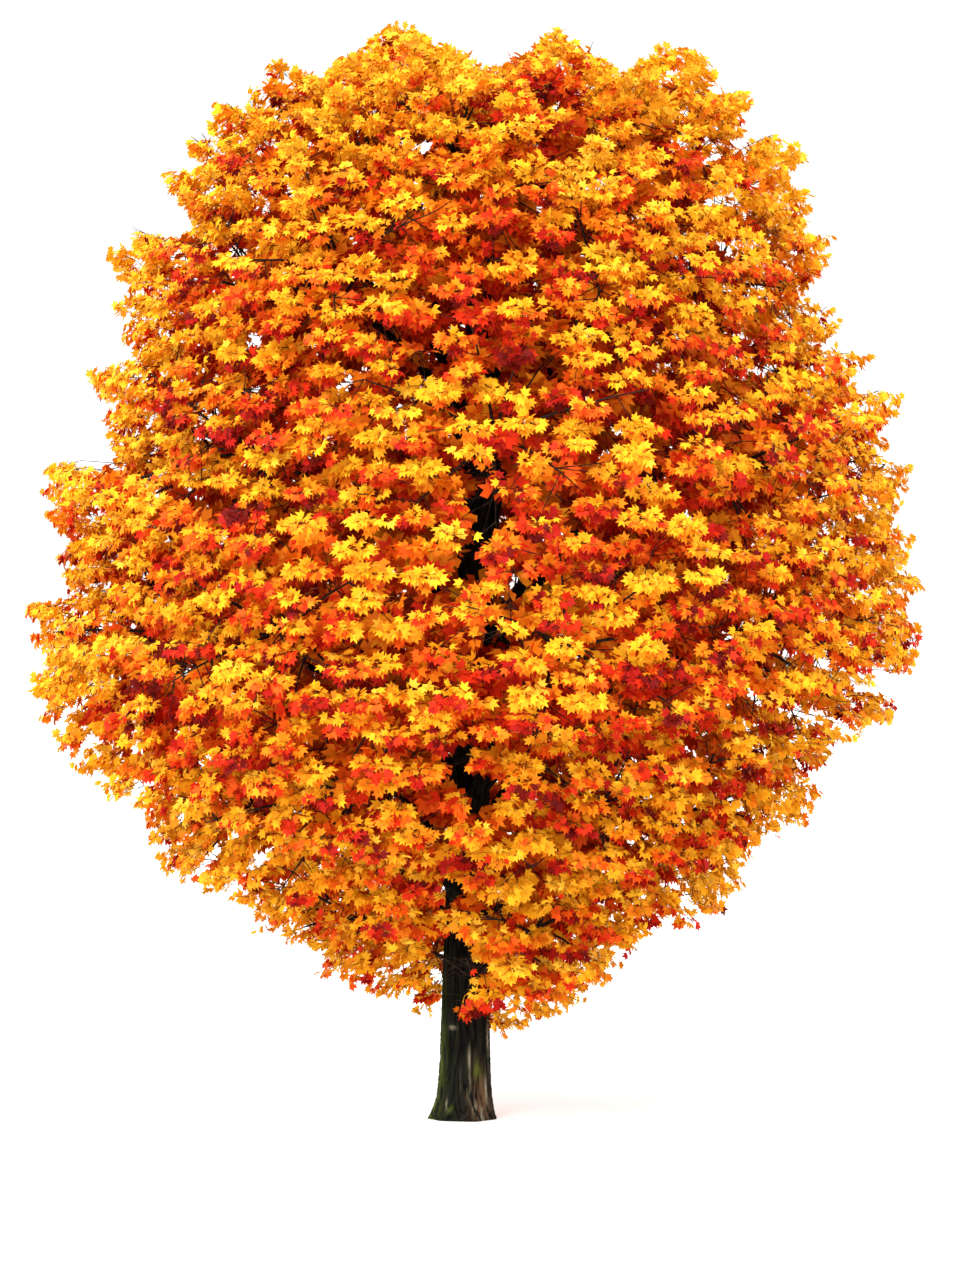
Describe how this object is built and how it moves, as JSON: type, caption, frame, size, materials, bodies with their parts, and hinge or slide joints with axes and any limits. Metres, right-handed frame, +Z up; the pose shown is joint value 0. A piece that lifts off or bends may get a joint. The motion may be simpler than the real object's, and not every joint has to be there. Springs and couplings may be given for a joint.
{
  "type": "maple tree",
  "caption": "Mature open-grown maple in autumn leaf: flared trunk, arching boughs and a dense egg-shaped crown of gold, orange and red foliage, rooted in level ground.",
  "frame": {"origin": "middle of the trunk's flat foot, at ground level", "axes": "+Z up the trunk, the picture is taken from -Y, +X to its right"},
  "size_m": [17.6795, 17.9785, 21.9525],
  "materials": {
    "bark": "rough furrowed bark",
    "leaf_gold": "matt leaf",
    "leaf_orange": "matt leaf",
    "leaf_red": "matt leaf"
  },
  "bodies": {
    "root": {"trunk": "bark", "bough_low_1": "bark", "bough_low_2": "bark", "bough_low_3": "bark", "bough_low_4": "bark", "bough_low_5": "bark", "bough_low_6": "bark", "bough_broad_1": "bark", "bough_broad_2": "bark", "bough_broad_3": "bark", "bough_broad_4": "bark", "bough_broad_5": "bark", "bough_broad_6": "bark", "bough_broad_7": "bark", "bough_middle_1": "bark", "bough_middle_2": "bark", "bough_middle_3": "bark", "bough_middle_4": "bark", "bough_middle_5": "bark", "bough_middle_6": "bark", "bough_upper_1": "bark", "bough_upper_2": "bark", "bough_upper_3": "bark", "bough_upper_4": "bark", "bough_upper_5": "bark", "bough_top_1": "bark", "bough_top_2": "bark", "bough_top_3": "bark", "bough_top_4": "bark", "foliage_skirt_1": "leaf_gold", "foliage_skirt_2": "leaf_orange", "foliage_skirt_3": "leaf_red", "foliage_low_1": "leaf_gold", "foliage_low_2": "leaf_orange", "foliage_low_3": "leaf_red", "foliage_low_4": "leaf_gold", "foliage_low_5": "leaf_orange", "foliage_low_6": "leaf_red", "foliage_broad_1": "leaf_gold", "foliage_broad_2": "leaf_orange", "foliage_broad_3": "leaf_red", "foliage_broad_4": "leaf_gold", "foliage_broad_5": "leaf_orange", "foliage_broad_6": "leaf_red", "foliage_broad_7": "leaf_gold", "foliage_middle_1": "leaf_orange", "foliage_middle_2": "leaf_red", "foliage_middle_3": "leaf_gold", "foliage_middle_4": "leaf_orange", "foliage_middle_5": "leaf_red", "foliage_middle_6": "leaf_gold", "foliage_upper_1": "leaf_orange", "foliage_upper_2": "leaf_red", "foliage_upper_3": "leaf_gold", "foliage_upper_4": "leaf_orange", "foliage_upper_5": "leaf_red", "foliage_top_1": "leaf_gold", "foliage_top_2": "leaf_orange", "foliage_top_3": "leaf_red", "foliage_top_4": "leaf_gold"}
  },
  "joints": []
}
